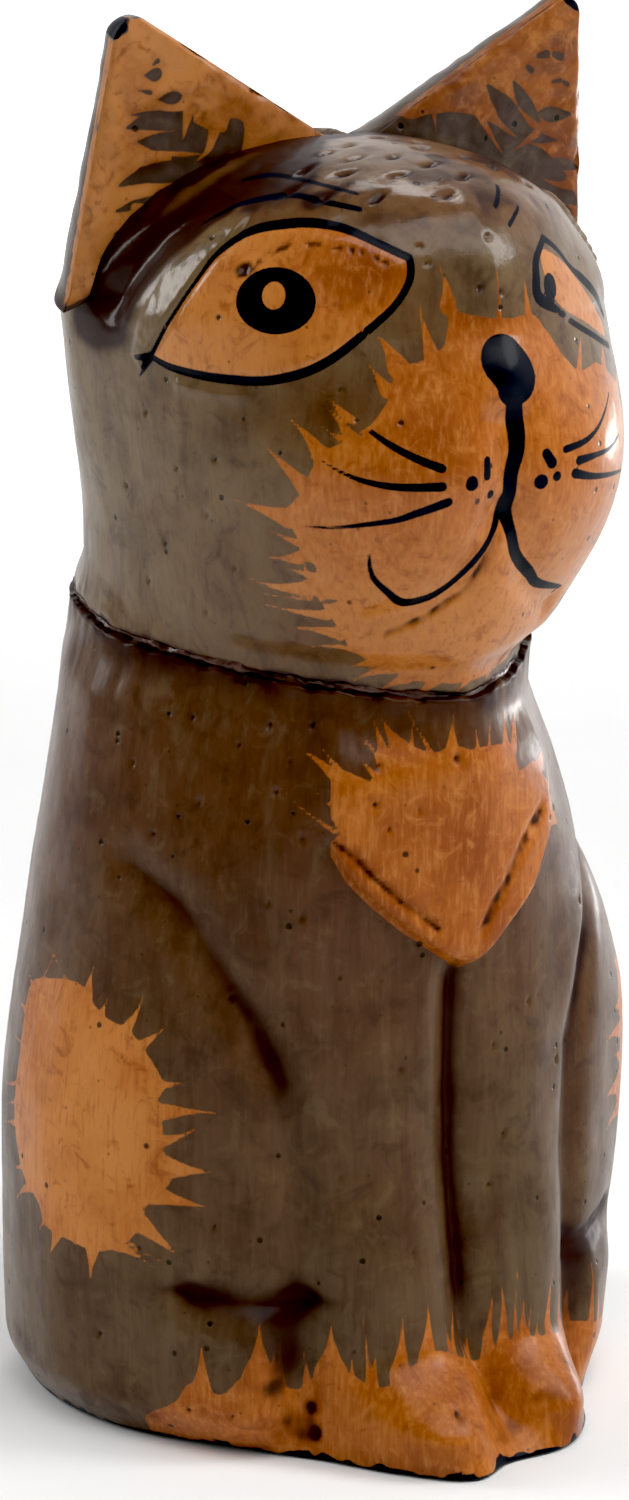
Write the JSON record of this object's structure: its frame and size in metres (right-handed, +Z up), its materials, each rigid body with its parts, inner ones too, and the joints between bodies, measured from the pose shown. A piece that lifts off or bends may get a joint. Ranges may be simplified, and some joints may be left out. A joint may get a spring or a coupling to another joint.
{
  "type": "carved cat figure",
  "caption": "Carved and painted wooden cat that sits upright, its pointed ears raised, for display on a shelf or table.",
  "frame": {"origin": "on the ground under the middle of the whole cat", "axes": "+Z up, the cat looks along -Y, and its left side is +X"},
  "size_m": [0.0942, 0.0994, 0.1982],
  "materials": {
    "painted_body": "grey-brown and orange paint under gloss lacquer",
    "painted_head": "grey-green and orange paint under gloss lacquer",
    "painted_ear": "orange and dark grey paint under gloss lacquer",
    "bare_wood": "bare sanded wood",
    "dark_filler": "dark wax and wood filler, rough"
  },
  "bodies": {
    "root": {"body": "painted_body", "head": "painted_head", "ear_right": "painted_ear", "ear_left": "painted_ear", "tail": "painted_body", "neck_dowel": "bare_wood", "ear_pegs": "bare_wood", "tail_peg": "bare_wood", "neck_filler": "dark_filler"}
  },
  "joints": []
}
